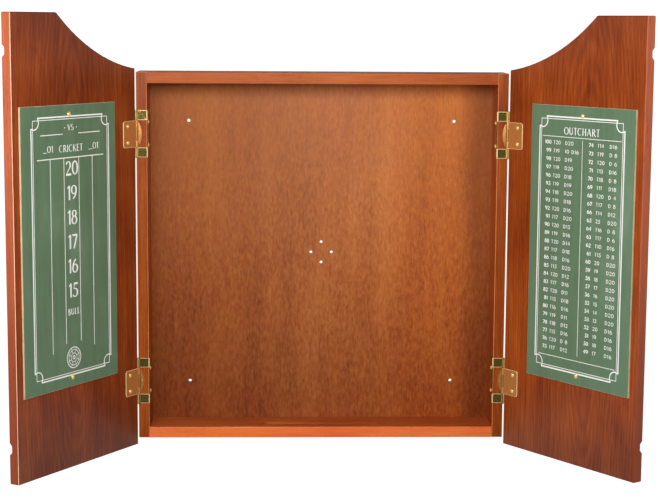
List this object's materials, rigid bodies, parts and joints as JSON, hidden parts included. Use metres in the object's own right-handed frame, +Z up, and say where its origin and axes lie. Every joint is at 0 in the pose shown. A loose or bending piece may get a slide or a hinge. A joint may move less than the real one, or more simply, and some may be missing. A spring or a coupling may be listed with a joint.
{
  "type": "dart board cabinet",
  "caption": "Shallow square wall cabinet with a pair of crowned wooden doors on wrap-round hinges, a score board inside each door and a bay for a dart board.",
  "frame": {"origin": "middle of the four wall-screw holes, on the back face that lies against the wall", "axes": "+X to the right seen from the front, +Y into the wall (the front faces -Y), +Z up"},
  "size_m": [0.8849, 0.3041, 0.651],
  "materials": {
    "case_wood": "red-brown stain under satin varnish, upright grain",
    "back_panel_wood": "stained veneer plywood, satin",
    "dowel_wood": "raw beech",
    "nail_steel": "plain wire",
    "door_wood": "red-brown stain under satin varnish, upright grain",
    "hinge_brass": "polished, lacquered",
    "pin_brass": "polished",
    "spring_brass": "polished",
    "screw_brass": "bright plated",
    "score_board_left": "matt green painted fibreboard with white print, raw tan edges",
    "score_board_right": "matt green painted fibreboard with white print, raw tan edges"
  },
  "bodies": {
    "case": {"side_left": "case_wood", "side_right": "case_wood", "top_board": "case_wood", "bottom_board": "case_wood", "back_panel": "back_panel_wood", "corner_dowels": "dowel_wood", "panel_nails": "nail_steel", "upper_left_frame_leaf": "hinge_brass", "lower_left_frame_leaf": "hinge_brass", "upper_right_frame_leaf": "hinge_brass", "lower_right_frame_leaf": "hinge_brass", "upper_left_hinge_pin": "pin_brass", "lower_left_hinge_pin": "pin_brass", "upper_right_hinge_pin": "pin_brass", "lower_right_hinge_pin": "pin_brass", "upper_left_closing_spring": "spring_brass", "lower_left_closing_spring": "spring_brass", "upper_right_closing_spring": "spring_brass", "lower_right_closing_spring": "spring_brass", "frame_leaf_screws": "screw_brass"},
    "left_door": {"door_left": "door_wood", "upper_left_door_leaf": "hinge_brass", "lower_left_door_leaf": "hinge_brass", "left_door_leaf_screws": "screw_brass", "score_board_left": "score_board_left", "left_board_screws": "screw_brass"},
    "right_door": {"door_right": "door_wood", "upper_right_door_leaf": "hinge_brass", "lower_right_door_leaf": "hinge_brass", "right_door_leaf_screws": "screw_brass", "score_board_right": "score_board_right", "right_board_screws": "screw_brass"}
  },
  "joints": [
    {"name": "left_door_hinge", "type": "hinge", "parent": "case", "child": "left_door", "pos_m": [-0.2773, -0.0704, 0], "axis": [0, 0, -1], "range_deg": [-122.2, 57.8]},
    {"name": "right_door_hinge", "type": "hinge", "parent": "case", "child": "right_door", "pos_m": [0.2773, -0.0704, 0], "axis": [0, 0, 1], "range_deg": [-124.4, 55.6]}
  ]
}
